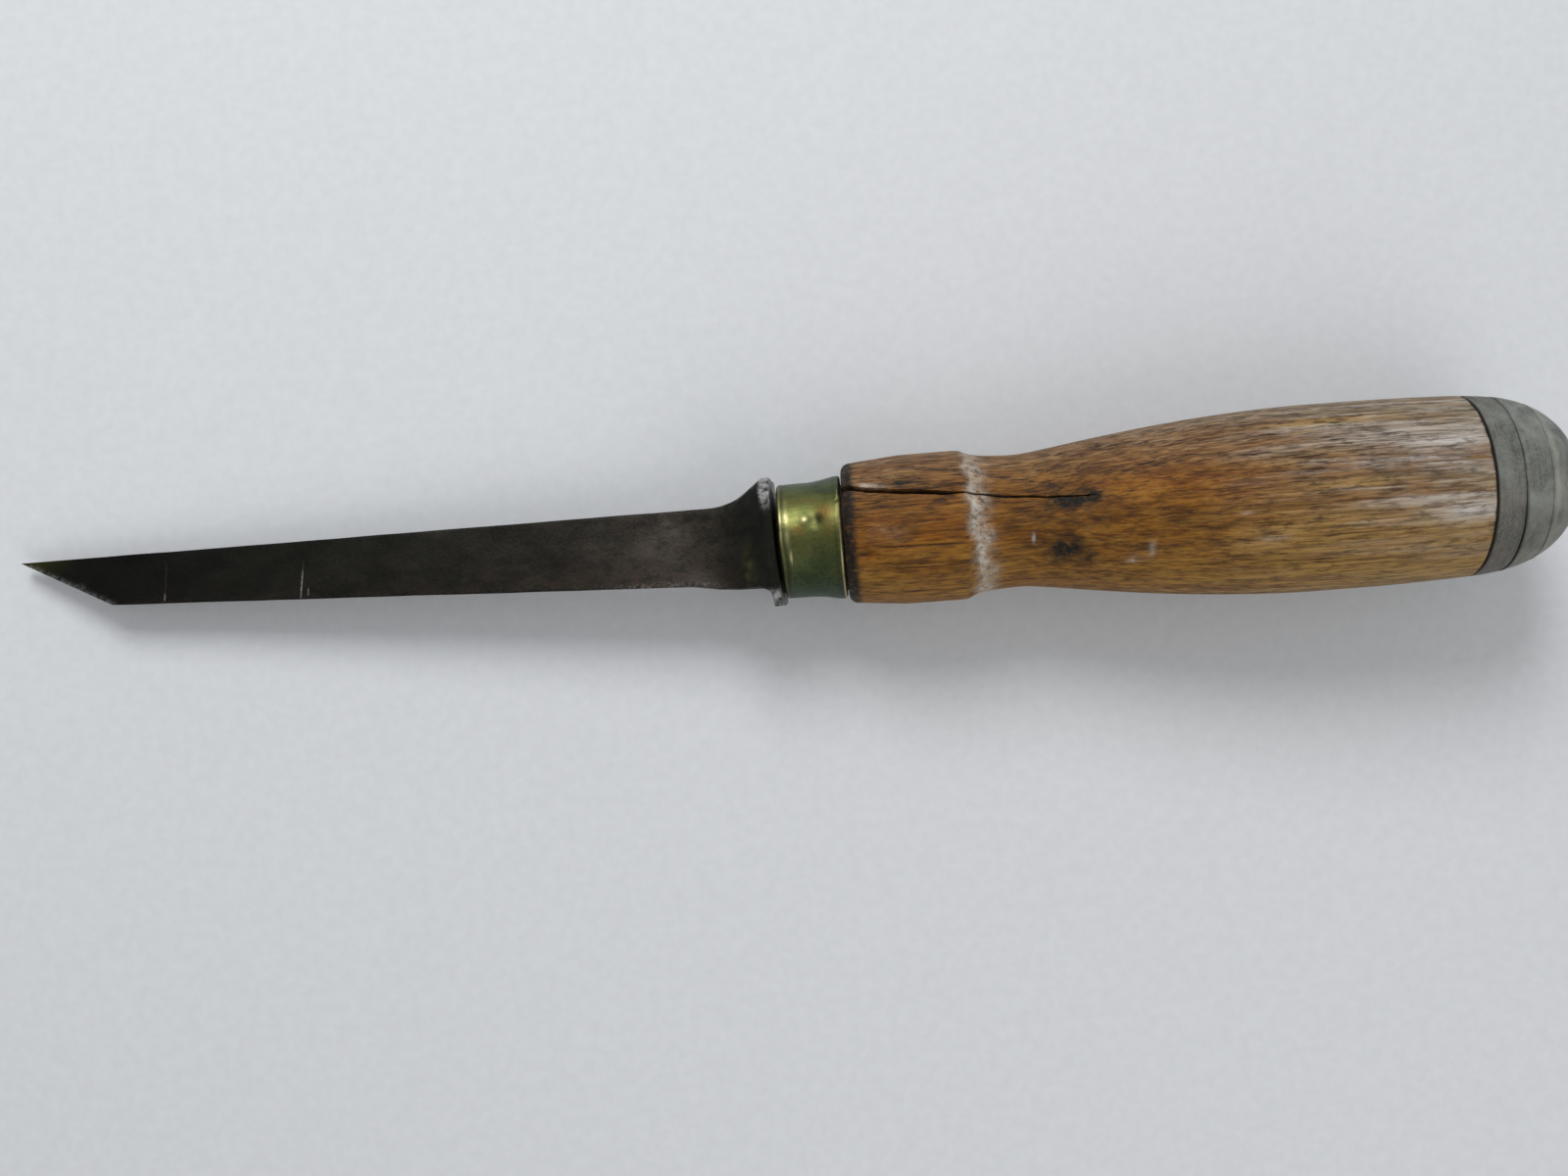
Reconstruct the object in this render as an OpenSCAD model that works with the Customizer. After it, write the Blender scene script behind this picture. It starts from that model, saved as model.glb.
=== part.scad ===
// V parting tool: a forged V-section blade with bolster and tang, a brass
// ferrule, a turned ash handle and three leather washers held by a peg.
// The tool is drawn along X in its own frame: x = 0 is the back face of the
// bolster, the blade points to -X, the keel of the V is on the +Y side and the
// mouth of the V on the -Y side. lay_down() then puts the whole tool to rest
// on the plane z = 0, with the origin under the middle of it.

/* [Blade] */
// Length of the blade from the bolster's back face to the point of the keel
blade_len = 143.5; // [120:0.5:160]
// Height of the blade section just in front of the bolster
blade_root_h = 14.3; // [12:0.1:16]
// Height of the blade section at the heel of the cutting end
blade_heel_h = 9.2; // [7:0.1:10]
// Slant of the cutting end, measured from the tool's axis
end_slant = 26.6; // [22:0.1:34]
// Width of the flat along the keel
keel_w = 1.8; // [1.2:0.1:2.4]
// Half of the angle between the outer faces
outer_half = 13; // [11:0.5:15]
// Half of the angle of the groove
groove_half = 24; // [20:0.5:26]
// Thickness of the wings at their rims
rim_t = 0.9; // [0.7:0.05:1.4]
// Bevel ground inside the wings
bevel = 28; // [22:1:35]
// Bevel ground inside the keel
keel_bevel = 12; // [8:1:16]

/* [Bolster and tang] */
// Height of the bolster flange across the V
flange_h = 23.4; // [21:0.1:25]
// Width of the bolster flange
flange_w = 24; // [22:0.5:25]
// Thickness of the flange at its rim
flange_t = 1.5; // [1:0.1:2.5]
// Clipped corners of the flange
flange_clip = 4.5; // [2:0.5:6]
// Length of the tang inside the handle
tang_len = 76; // [50:1:90]
// Side of the square tang at the bolster
tang_root = 7; // [6:0.5:8]

/* [Ferrule] */
// Outer radius of the front band of the ferrule
ferrule_r = 10.5; // [10:0.1:11]
// Outer radius at the flared rear edge
ferrule_rear_r = 11.3; // [11:0.1:11.8]
// Wall of the ferrule
ferrule_wall = 0.9; // [0.7:0.1:1.3]
// How far the ferrule's axis sits toward the mouth side of the handle's axis
neck_offset = 0.6; // [0:0.1:0.8]

/* [Handle] */
// Radius of the wood at the shoulder
shoulder_r = 12.8; // [12.2:0.1:13.2]
// Radius at the ridge in front of the cove
ridge_r = 13.6; // [13.4:0.1:14.5]
// Radius at the bottom of the cove
cove_r = 12; // [11:0.1:12.6]
// Radius at the swell
swell_r = 16.7; // [15:0.1:18]
// Radius at the leather end
butt_r = 16.1; // [15:0.1:17]
// Where the wood ends and the leather starts
wood_end = 122; // [115:0.5:126]

/* [Leather end] */
// Thickness of the two flat washers
washer_t = 5; // [4:0.1:5.5]
// Distance from the bolster to the butt
butt_end = 140; // [136:0.5:145]
// Radius of the peg that holds the washers
peg_r = 5; // [4:0.1:6]
// Depth of the peg in the wood
peg_depth = 20; // [12:1:30]

/* [Hidden] */
$fn = 96;

// blade lines: keel nearly parallel to the axis, rims closing toward the point
keel_root_y = 6.55;
keel_tip_y = 6.3;
root_x = -14;
heel_x = -blade_len + blade_heel_h / tan(end_slant);
heel_y = keel_tip_y - blade_heel_h;
rim_root_y = keel_root_y - blade_root_h;
rim_slope = (rim_root_y - heel_y) / (root_x - heel_x);
function rim_y(x) = heel_y + (x - heel_x) * rim_slope;
function keel_y(x) = keel_tip_y + (x + blade_len) * (keel_root_y - keel_tip_y)
                     / (blade_len + root_x);
function half_w(x) = keel_w / 2 + (keel_y(x) - rim_y(x)) * tan(outer_half);

// groove: its root line follows from the rim thickness at both ends
edge_land = 0.1;
groove_flat = 0.5;
groove_end_x = -30;
groove_ramp = 35;
function groove_root_y(x) = rim_y(x)
    + (half_w(x) - rim_t - groove_flat / 2) / tan(groove_half);

// bolster
flare_r = 15;
flare_x = -12.2;
under_flare_r = 3.5;
side_flare_r = 34;
flange_y = -neck_offset;
over = 30;

// ferrule and shoulder
ferrule_x = 0.7;
ferrule_len = 11.3;
ferrule_end_x = ferrule_x + ferrule_len;
lip_r = 0.5;
fit = 0.1;
shoulder_x = 12.3;
shoulder_round = 1.6;
collar_x = 22.6;
collar_r = ridge_r - 0.03;
ridge_x = 31;
cove_x = 43.5;
swell_x = 98;

// the tool rests on one side of the flange and on the collar: the slope of its
// axis, the axis' height over the bench at x = 0 and the tool's middle in plan
tilt = atan((collar_r - flange_w / 2) / (collar_x + flange_t));
axis_z = flange_w / 2 * cos(tilt) + flange_t * sin(tilt);
mid_x = ((butt_end - blade_len) * cos(tilt) + (peg_r - keel_w / 2) * sin(tilt)) / 2;

// a cubic Bezier point and the run of n points along one
function bez(a, b, c, d, t) = a * pow(1 - t, 3) + 3 * b * t * pow(1 - t, 2)
                            + 3 * c * t * t * (1 - t) + d * pow(t, 3);
function run(a, b, c, d, n) = [for (i = [1:n]) bez(a, b, c, d, i / n)];
// points of an arc about a centre, angles in degrees
function arc(c, r, a0, a1, n) =
    [for (i = [0:n]) c + r * [cos(a0 + (a1 - a0) * i / n), sin(a0 + (a1 - a0) * i / n)]];

// ---- helpers ----

// turns a profile given as [distance along the tool, radius] about the X axis
module turned(profile) {
    rotate([0, 90, 0]) rotate([0, 0, 90])
        rotate_extrude() polygon([for (p = profile) [p[1], p[0]]]);
}

// an XY outline made thick in Z, and an XZ outline made thick in Y
module side_slab(points) {
    translate([0, 0, -over]) linear_extrude(2 * over) polygon(points);
}
module plan_slab(points) {
    rotate([90, 0, 0]) translate([0, 0, -over]) linear_extrude(2 * over) polygon(points);
}

// a YZ outline run along a line in the XY plane from x0 to x1,
// where y0 and y1 are the heights of the outline's own y = 0 at those places
module along(x0, y0, x1, y1, points) {
    slope = atan2(y1 - y0, x1 - x0);
    translate([x0, y0, 0]) rotate([0, 0, slope]) rotate([90, 0, 90])
        linear_extrude(norm([x1 - x0, y1 - y0])) polygon(points);
}

module lay_down() {
    translate([-mid_x, 0, axis_z]) rotate([0, -tilt, 0]) children();
}

// ---- blade ----

module v_bar() {
    deep = over;
    past = 3;
    intersection() {
        side_slab([[-blade_len - past, keel_tip_y + past * tan(end_slant)],
                   [heel_x, heel_y], [-1, rim_y(-1)], [-1, over], [-blade_len, over]]);
        along(-blade_len - 5, keel_y(-blade_len - 5), 0, keel_y(0),
              [[0, keel_w / 2], [0, -keel_w / 2],
               [-deep, -keel_w / 2 - deep * tan(outer_half)],
               [-deep, keel_w / 2 + deep * tan(outer_half)]]);
    }
}

module groove() {
    x0 = -blade_len - 5;
    x1 = 0;
    deep = over;
    ramp_x = groove_end_x + over / tan(groove_ramp);
    intersection() {
        along(x0, groove_root_y(x0), x1, groove_root_y(x1),
              [[0, groove_flat / 2], [0, -groove_flat / 2],
               [-deep, -groove_flat / 2 - deep * tan(groove_half)],
               [-deep, groove_flat / 2 + deep * tan(groove_half)]]);
        side_slab([[x0 - 5, over], [x0 - 5, -over], [ramp_x, -over],
                   [groove_end_x, groove_root_y(groove_end_x)],
                   [groove_end_x, over]]);
    }
}

// stock ground away inside one wing, behind the slanted edge: the block's face
// holds the edge line, leans inward by the bevel angle and stops at mid-plane
module wing_bevel(side) {
    face_slant = atan(tan(end_slant) / cos(outer_half));
    deep = 10;
    intersection() {
        translate([-blade_len, keel_tip_y, side * keel_w / 2])
            rotate([-side * outer_half, 0, 0])
                rotate([0, 0, -face_slant])
                    rotate([-side * bevel, 0, 0])
                        translate([-8, -3, side > 0 ? -deep - edge_land : edge_land])
                            cube([34, 18, deep]);
        translate([-blade_len - 5, -over, side > 0 ? 0 : -over]) cube([45, 2 * over, over]);
        side_slab([[-blade_len - 5, -over],
                   [-blade_len - 5, keel_tip_y - edge_land + 5 * tan(keel_bevel)],
                   [-blade_len + 45, keel_tip_y - edge_land - 45 * tan(keel_bevel)],
                   [-blade_len + 45, -over]]);
    }
}

module flange_outline() {
    h = flange_h / 2;
    w = flange_w / 2;
    c = flange_clip;
    polygon([[h, w - c], [h - c, w], [-h + c, w], [-h, w - c],
             [-h, -w + c], [-h + c, -w], [h - c, -w], [h, -w + c]]);
}

module flange_prism(x0, x1) {
    translate([x0, flange_y, 0]) rotate([90, 0, 90]) linear_extrude(x1 - x0) flange_outline();
}

module bolster() {
    front = -25;
    back = -0.2;
    belly_y = rim_y(-7) - 0.6;
    top = arc([flare_x, keel_y(flare_x) - 0.15 + flare_r], flare_r, 270, 320, 8);
    under = arc([-0.6 - under_flare_r, belly_y - under_flare_r], under_flare_r, 90, 12, 6);
    side = arc([front - 2, 0.4 + side_flare_r], side_flare_r, 274, 320, 10);
    flange_prism(-flange_t, 0);
    intersection() {
        flange_prism(front, back);
        side_slab(concat([[front, rim_y(front) + 0.5], [front, keel_y(front) - 0.5]], top,
                         [[back, over], [back, -over]], [for (i = [6:-1:0]) under[i]],
                         [[-7, belly_y]]));
        plan_slab(concat(side, [[back, over], [back, -over]],
                         [for (i = [10:-1:0]) [side[i][0], -side[i][1]]]));
    }
}

module tang(grow) {
    r0 = tang_root / 2 + grow;
    r1 = 1.5 + grow;
    x1 = tang_len + grow;
    outline = [[-0.5, -r0], [x1, -r1], [x1, r1], [-0.5, r0]];
    translate([0, flange_y, 0]) intersection() {
        side_slab(outline);
        plan_slab(outline);
    }
}

module blade() {
    color([0.25, 0.21, 0.18]) lay_down() difference() {
        union() {
            v_bar();
            bolster();
            tang(0);
        }
        groove();
        wing_bevel(1);
        wing_bevel(-1);
    }
}

// ---- ferrule ----

module ferrule_solid(r_in_front, r_in_rear) {
    x0 = ferrule_x;
    x1 = ferrule_end_x;
    turned(concat([[x0, r_in_front]],
                  arc([x0 + lip_r, ferrule_r - lip_r], lip_r, 180, 90, 5),
                  [[x0 + 5, ferrule_r]],
                  run([x0 + 5, ferrule_r], [x0 + 7, ferrule_r], [x1 - 3, ferrule_rear_r - 0.25],
                      [x1 - lip_r, ferrule_rear_r], 6),
                  arc([x1 - lip_r, ferrule_rear_r - lip_r], lip_r, 90, 0, 5),
                  [[x1, r_in_rear]]));
}

module ferrule() {
    bore_r = ferrule_r - ferrule_wall;
    color([0.45, 0.43, 0.22]) lay_down() translate([0, flange_y, 0])
        ferrule_solid(bore_r, bore_r);
}

// ---- handle ----

function handle_profile() = concat(
    [[shoulder_x, 0]],
    arc([shoulder_x + shoulder_round, shoulder_r - shoulder_round], shoulder_round, 180, 95, 6),
    [[collar_x, collar_r]],
    run([collar_x, collar_r], [collar_x + 3, ridge_r], [ridge_x - 3, ridge_r],
        [ridge_x, ridge_r], 4),
    run([ridge_x, ridge_r], [ridge_x + 4, ridge_r], [cove_x - 8, cove_r + 0.2],
        [cove_x, cove_r], 10),
    run([cove_x, cove_r], [cove_x + 5, cove_r], [cove_x + 27.5, swell_r + 0.35],
        [swell_x, swell_r], 20),
    run([swell_x, swell_r], [swell_x + 10, swell_r], [wood_end - 6, butt_r + 0.3],
        [wood_end, butt_r], 8),
    [[wood_end, 0]]);

module handle() {
    neck_r = ferrule_r - ferrule_wall - fit;
    color([0.66, 0.42, 0.22]) lay_down() difference() {
        union() {
            turned(handle_profile());
            translate([0, flange_y, 0])
                turned([[ferrule_x, 0], [ferrule_x, neck_r], [shoulder_x + 1, neck_r],
                        [shoulder_x + 1, 0]]);
        }
        tang(fit);
        translate([wood_end - peg_depth, 0, 0]) rotate([0, 90, 0])
            cylinder(r = peg_r, h = peg_depth + 1);
    }
}

// ---- leather washers and peg ----

// the worn, rounded end over all three washers: [distance, radius]
crown = concat([[wood_end, butt_r]],
    run([wood_end, butt_r], [wood_end + 6.5, butt_r - 0.3], [butt_end - 6, butt_r - 1.7],
        [butt_end - 2.2, 9.8], 12),
    run([butt_end - 2.2, 9.8], [butt_end - 0.8, 7.6], [butt_end - 0.2, 5.6],
        [butt_end - 0.2, 0], 6));

module washer(x0, x1) {
    intersection() {
        turned(concat([[wood_end - 1, 0], [wood_end - 1, butt_r]], crown));
        translate([x0, 0, 0]) rotate([0, 90, 0]) difference() {
            cylinder(r = butt_r + 2, h = x1 - x0);
            translate([0, 0, -1]) cylinder(r = peg_r, h = x1 - x0 + 2);
        }
    }
}

module inner_washer() {
    color([0.42, 0.42, 0.36]) lay_down() washer(wood_end, wood_end + washer_t);
}

module middle_washer() {
    color([0.44, 0.43, 0.37]) lay_down() washer(wood_end + washer_t, wood_end + 2 * washer_t);
}

module outer_washer() {
    color([0.46, 0.44, 0.37]) lay_down() washer(wood_end + 2 * washer_t, butt_end);
}

module washer_peg() {
    gap = 0.5;
    color([0.6, 0.45, 0.28]) lay_down() translate([wood_end - peg_depth + gap, 0, 0])
        rotate([0, 90, 0]) cylinder(r = peg_r, h = butt_end - wood_end + peg_depth - gap);
}

blade();
ferrule();
handle();
inner_washer();
middle_washer();
outer_washer();
washer_peg();
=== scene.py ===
"""The v parting tool's looks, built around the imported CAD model.

Every piece is made in the tool's own frame, in millimetres: u runs along the
tool from the bolster's back face (u = 0) toward the butt, v is the keel side
of the blade and w is up, away from the bench, when the tool lies at rest.
r and a are a point's distance from the tool's axis and its angle around it, arc_v
is the distance around at that radius, and s is the Shader of a material.
"""
import math

import bmesh
import bpy
import numpy as np
from mathutils import Matrix, Vector


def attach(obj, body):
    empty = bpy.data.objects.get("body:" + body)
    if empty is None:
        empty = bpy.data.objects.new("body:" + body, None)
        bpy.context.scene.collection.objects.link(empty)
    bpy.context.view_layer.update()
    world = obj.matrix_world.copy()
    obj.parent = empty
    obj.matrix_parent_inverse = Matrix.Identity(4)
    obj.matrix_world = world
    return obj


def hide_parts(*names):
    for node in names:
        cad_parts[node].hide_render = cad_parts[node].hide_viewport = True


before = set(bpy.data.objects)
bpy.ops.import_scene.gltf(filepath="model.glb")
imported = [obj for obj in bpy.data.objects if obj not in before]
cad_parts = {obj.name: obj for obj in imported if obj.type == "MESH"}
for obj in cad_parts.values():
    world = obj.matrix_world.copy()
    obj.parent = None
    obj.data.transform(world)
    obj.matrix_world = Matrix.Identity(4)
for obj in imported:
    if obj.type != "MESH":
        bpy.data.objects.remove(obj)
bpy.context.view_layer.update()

# ---- sizes, in millimetres, as in the CAD model ----

MM = 0.001

BLADE_LEN = 143.5
HEEL_H = 9.2
ROOT_H = 14.3
END_SLANT = math.radians(26.6)
KEEL_W = 1.8
OUTER_HALF = math.radians(13)
GROOVE_HALF = math.radians(24)
GROOVE_FLAT = 0.5
GROOVE_END = -30
GROOVE_RAMP = math.radians(35)
RIM_T = 0.9
BEVEL = math.radians(28)
KEEL_BEVEL = math.radians(12)
EDGE_LAND = 0.1
KEEL_TIP_V = 6.3
KEEL_ROOT_V = 6.55
ROOT_U = -14

FLANGE_H = 23.4
FLANGE_W = 24
FLANGE_T = 1.5
FLANGE_CLIP = 4.5
FLANGE_SKEW = math.radians(2.6)
NECK_V = -0.6
TANG_LEN = 76
TANG_ROOT = 7
TANG_TIP = 3

FERRULE_U = (0.7, 12.0)
FERRULE_R = 10.5
FERRULE_REAR_R = 11.3
FERRULE_WALL = 0.9
FERRULE_BORE = FERRULE_R - FERRULE_WALL
FERRULE_SKEW = math.radians(1.26)
FERRULE_POINTS = 360

SHOULDER_U = 12.3
SHOULDER_R = 12.8
SHOULDER_START_R = 9.55
SHOULDER_FULL_R = 11
COLLAR_U = 22.6
COLLAR_R = 13.57
RIDGE_R = 13.6
BUTT_R = 16.1
WOOD_END = 122
WASHER_T = 5
BUTT_END = 140
PEG_R = 5
PEG_DEPTH = 20
WASHER_POINTS = 300
PEG_POINTS = 96

TILT = math.atan((COLLAR_R - FLANGE_W / 2) / (COLLAR_U + FLANGE_T))
AXIS_Z = FLANGE_W / 2 * math.cos(TILT) + FLANGE_T * math.sin(TILT)
MID_X = ((BUTT_END - BLADE_LEN) * math.cos(TILT) + (PEG_R - KEEL_W / 2) * math.sin(TILT)) / 2
LAY_DOWN = Matrix.Translation(Vector((-MID_X, 0, AXIS_Z)) * MM) @ Matrix.Rotation(-TILT, 4, "Y")


# ---- curves and fields ----

def run(a, b, c, d, n):
    """n points along a cubic Bezier, without its first point."""
    t = np.linspace(0, 1, n + 1)[1:, None]
    a, b, c, d = (np.array(p, float) for p in (a, b, c, d))
    return a * (1 - t) ** 3 + 3 * b * t * (1 - t) ** 2 + 3 * c * t * t * (1 - t) + d * t ** 3


def arc(centre, r, start, end, n):
    """n + 1 points along an arc, angles in degrees."""
    a = np.radians(np.linspace(start, end, n + 1))
    return np.stack([centre[0] + r * np.cos(a), centre[1] + r * np.sin(a)], 1)


def joined(*parts):
    """One array of points from single points and runs of points."""
    return np.vstack([np.atleast_2d(np.array(p, float)) for p in parts])


def spaced(points, step):
    """The same polyline with no gap longer than step."""
    out = [points[:1]]
    for a, b in zip(points[:-1], points[1:]):
        n = max(1, int(math.ceil(np.linalg.norm(b - a) / step)))
        out.append(a + (b - a) * np.linspace(0, 1, n + 1)[1:, None])
    return np.vstack(out)


def rise(x, low, high):
    """0 below low, 1 above high, smooth between."""
    t = np.clip((x - low) / (high - low), 0, 1)
    return t * t * (3 - 2 * t)


def ripple(p, size, seed, count=10):
    """A smooth random field from -1 to 1, with features about `size` mm across."""
    rng = np.random.default_rng(seed)
    total = 0
    for _ in range(count):
        wave = rng.normal(size=3) / size * 2.2
        total = total + np.sin(p @ wave + rng.uniform(0, 6.28))
    return np.clip(total / math.sqrt(count), -1.6, 1.6) / 1.6


def band(x, place, size):
    """1 where x is place, fading to 0 beyond about twice the size."""
    return np.exp(-((x - place) / size) ** 2)


def spot(u, arc_v, place, size):
    """1 at a place, fading to 0 beyond about twice its size along each direction."""
    return np.exp(-((u - place[0]) / size[0]) ** 2 - ((arc_v - place[1]) / size[1]) ** 2)


def spots(u, arc_v, rows):
    """The sum of several spots, each given as its amount, place and size."""
    return sum(amount * spot(u, arc_v, place, size) for amount, place, size in rows)


# ---- meshes ----

def build(name, grid, closed, masks, sharp, pairs=None):
    """A closed skin over a grid of rings [ring][point][uvw].

    closed joins the last ring to the first; otherwise each end is a pole at the
    ring's own centre, or, with pairs, the first ring is stitched across itself.
    masks are one value per point, by name, and edges over `sharp` degrees stay crisp.
    """
    rings, points = grid.shape[:2]
    verts = grid.reshape(-1, 3)
    i = np.arange(rings if closed else rings - 1)[:, None]
    j = np.arange(points)[None, :]
    i2, j2 = (i + 1) % rings, (j + 1) % points
    quads = np.stack([i * points + j, i * points + j2, i2 * points + j2, i2 * points + j], -1)
    faces = quads.reshape(-1, 4).tolist()
    extra = []
    if not closed:
        for ring in ((rings - 1,) if pairs else (0, rings - 1)):
            pole = len(verts) + len(extra)
            extra.append(grid[ring].mean(0))
            base = ring * points
            faces += [[pole, base + k, base + (k + 1) % points] for k in range(points)]
        if pairs:
            faces += [list(corners) for corners in pairs]
    if extra:
        verts = np.vstack([verts, np.array(extra)])
    mesh = bpy.data.meshes.new(name)
    mesh.from_pydata((verts * MM).tolist(), [], faces)
    mesh.transform(LAY_DOWN)
    bm = bmesh.new()
    bm.from_mesh(mesh)
    bmesh.ops.recalc_face_normals(bm, faces=bm.faces)
    bm.to_mesh(mesh)
    bm.free()
    mesh.shade_smooth()
    mesh.set_sharp_from_angle(angle=math.radians(sharp))
    for key, values in masks.items():
        layer = mesh.attributes.new(key, "FLOAT", "POINT")
        flat = np.zeros(len(mesh.vertices), np.float32)
        flat[:rings * points] = values.reshape(-1)
        layer.data.foreach_set("value", flat)
    piece = bpy.data.objects.new(name, mesh)
    bpy.context.scene.collection.objects.link(piece)
    return piece


def turned(u, r, angle, centre_v=0):
    """Rings about the tool's axis: angle 0 is up, and positive toward the keel."""
    return np.stack([u, centre_v + r * np.sin(angle), r * np.cos(angle)], -1)


def swept(profile, count):
    """u, r and angle of every point when a profile of (u, r) turns about the axis."""
    angle = np.linspace(-math.pi, math.pi, count + 1)[:-1][None, :]
    u = profile[:, :1] + 0 * angle
    r = profile[:, 1:] + 0 * angle
    return u, r, angle + 0 * u


def rest_on_frame(piece, node, material):
    """Gives a piece its material and says which CAD node it replaces."""
    piece.data.materials.append(material)
    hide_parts(node)
    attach(piece, "root")


# ---- shader helpers ----

class Shader:
    """A material whose nodes are added one call at a time."""

    def __init__(self, name):
        self.material = bpy.data.materials.new(name)
        self.material.use_nodes = True
        self.tree = self.material.node_tree
        self.surface = self.tree.nodes["Principled BSDF"]
        place = self.add("ShaderNodeTexCoord").outputs["Object"]
        back = self.add("ShaderNodeMapping", {"Vector": place}, vector_type="TEXTURE")
        back.inputs["Location"].default_value = LAY_DOWN.translation
        back.inputs["Rotation"].default_value = (0, -TILT, 0)
        back.inputs["Scale"].default_value = (MM, MM, MM)
        self.mm = back.outputs[0]
        split = self.add("ShaderNodeSeparateXYZ", {0: self.mm})
        self.u, self.v, self.w = split.outputs

    def add(self, kind, inputs=None, **settings):
        node = self.tree.nodes.new(kind)
        for key, value in settings.items():
            setattr(node, key, value)
        for key, value in (inputs or {}).items():
            self.feed(node.inputs[key], value)
        return node

    def feed(self, socket, value):
        """Links a socket to an output, or sets its constant."""
        if isinstance(value, bpy.types.NodeSocket):
            self.tree.links.new(value, socket)
        else:
            socket.default_value = value

    def vector(self, operation, a, b=None, scale=None):
        inputs = {0: a}
        if b is not None:
            inputs[1] = b
        if scale is not None:
            inputs["Scale"] = scale
        return self.add("ShaderNodeVectorMath", inputs, operation=operation).outputs[0]

    def stretch(self, per_mm):
        """The place in mm times a number of features per mm along u, v and w."""
        return self.vector("MULTIPLY", self.mm, per_mm)

    def noise(self, place, detail=4, rough=0.55, warp=0.0):
        inputs = {"Vector": place, "Scale": 1.0, "Detail": detail, "Roughness": rough,
                  "Distortion": warp}
        return self.add("ShaderNodeTexNoise", inputs).outputs["Fac"]

    def calc(self, operation, a, b=None, clamp=False):
        inputs = {0: a}
        if b is not None:
            inputs[1] = b
        return self.add("ShaderNodeMath", inputs, operation=operation, use_clamp=clamp).outputs[0]

    def times(self, a, b, clamp=False):
        return self.calc("MULTIPLY", a, b, clamp)

    def larger(self, a, b):
        return self.calc("MAXIMUM", a, b)

    def span(self, value, low, high, out_low=0.0, out_high=1.0):
        """low..high of a value mapped onto out_low..out_high, clamped."""
        inputs = {"Value": value, "From Min": low, "From Max": high,
                  "To Min": out_low, "To Max": out_high}
        return self.add("ShaderNodeMapRange", inputs).outputs[0]

    def ramp(self, fac, stops):
        """A colour that runs through stops of (value, colour)."""
        node = self.add("ShaderNodeValToRGB", {0: fac})
        while len(node.color_ramp.elements) < len(stops):
            node.color_ramp.elements.new(0.5)
        for element, (place, colour) in zip(node.color_ramp.elements, stops):
            element.position = place
            element.color = (*colour, 1)
        return node.outputs[0]

    def blend(self, fac, a, b, kind="MIX"):
        """Colour a, turning into colour b where fac is 1."""
        a, b = (x if isinstance(x, bpy.types.NodeSocket) else (*x, 1) for x in (a, b))
        node = self.add("ShaderNodeMix", data_type="RGBA", blend_type=kind)
        for key, value in ((0, fac), (6, a), (7, b)):
            self.feed(node.inputs[key], value)
        return node.outputs[2]

    def mask(self, name):
        """A value stored on the mesh by build()."""
        return self.add("ShaderNodeAttribute", attribute_name=name).outputs["Fac"]

    def bump(self, height, strength, distance, normal=None):
        """A bumped normal, `distance` mm high, on top of another one if given."""
        inputs = {"Height": height, "Strength": strength, "Distance": distance * MM}
        if normal is not None:
            inputs["Normal"] = normal
        return self.add("ShaderNodeBump", inputs).outputs[0]

    def finish(self, colour, roughness, normal, **fixed):
        """Feeds the surface; fixed holds further constants by socket name."""
        for key, value in (("Base Color", colour), ("Roughness", roughness), ("Normal", normal)):
            self.feed(self.surface.inputs[key], value)
        for key, value in fixed.items():
            self.surface.inputs[key.replace("_", " ")].default_value = value
        return self.material


# ---- the camera: where the photo was taken from, with a lens and film width in millimetres ----

CAMERA_ROLL = math.radians(4.27)
CAMERA_PLACE = Vector((2.0, -9.04, 280.17)) * MM
FILM_W = 36
LENS = 33.55


def add_camera():
    data = bpy.data.cameras.new("camera")
    data.lens = LENS
    data.sensor_width = FILM_W
    data.clip_start = 0.01
    camera = bpy.data.objects.new("camera", data)
    camera.location = CAMERA_PLACE
    camera.rotation_euler = (0, 0, -CAMERA_ROLL)
    bpy.context.scene.collection.objects.link(camera)
    bpy.context.scene.camera = camera


# ---- blade, bolster and tang ----

HEEL_U = -BLADE_LEN + HEEL_H / math.tan(END_SLANT)
HEEL_V = KEEL_TIP_V - HEEL_H
RIM_ROOT_V = KEEL_ROOT_V - ROOT_H


def keel_v(u):
    """The keel's line, nearly straight from the point to the bolster."""
    return KEEL_TIP_V + (u + BLADE_LEN) * (KEEL_ROOT_V - KEEL_TIP_V) / (BLADE_LEN + ROOT_U)


def rim_v(u):
    """The line of the two rims at the mouth of the V."""
    return HEEL_V + (u - HEEL_U) * (RIM_ROOT_V - HEEL_V) / (ROOT_U - HEEL_U)


def half_w(u):
    """Half the blade's width at its rims."""
    return KEEL_W / 2 + (keel_v(u) - rim_v(u)) * math.tan(OUTER_HALF)


def groove_v(u):
    """The root of the groove, with its run-out behind and the keel's bevel at the point."""
    root = rim_v(u) + (half_w(u) - RIM_T - GROOVE_FLAT / 2) / math.tan(GROOVE_HALF)
    ramp = rim_v(GROOVE_END) + (half_w(GROOVE_END) - RIM_T) / math.tan(GROOVE_HALF)
    ramp = ramp - np.maximum(0, u - GROOVE_END) * math.tan(GROOVE_RAMP)
    keel = keel_v(u) - EDGE_LAND - np.maximum(0, u + BLADE_LEN) * math.tan(KEEL_BEVEL)
    return np.maximum(np.maximum(np.minimum(root, ramp), rim_v(u)), keel)


BOLSTER_START = -25
MELT = 2.4
ROOT_STEPS = 12
FLAT_POINTS = 5
SIDE_POINTS = 42
RIM_POINTS = 3


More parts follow.
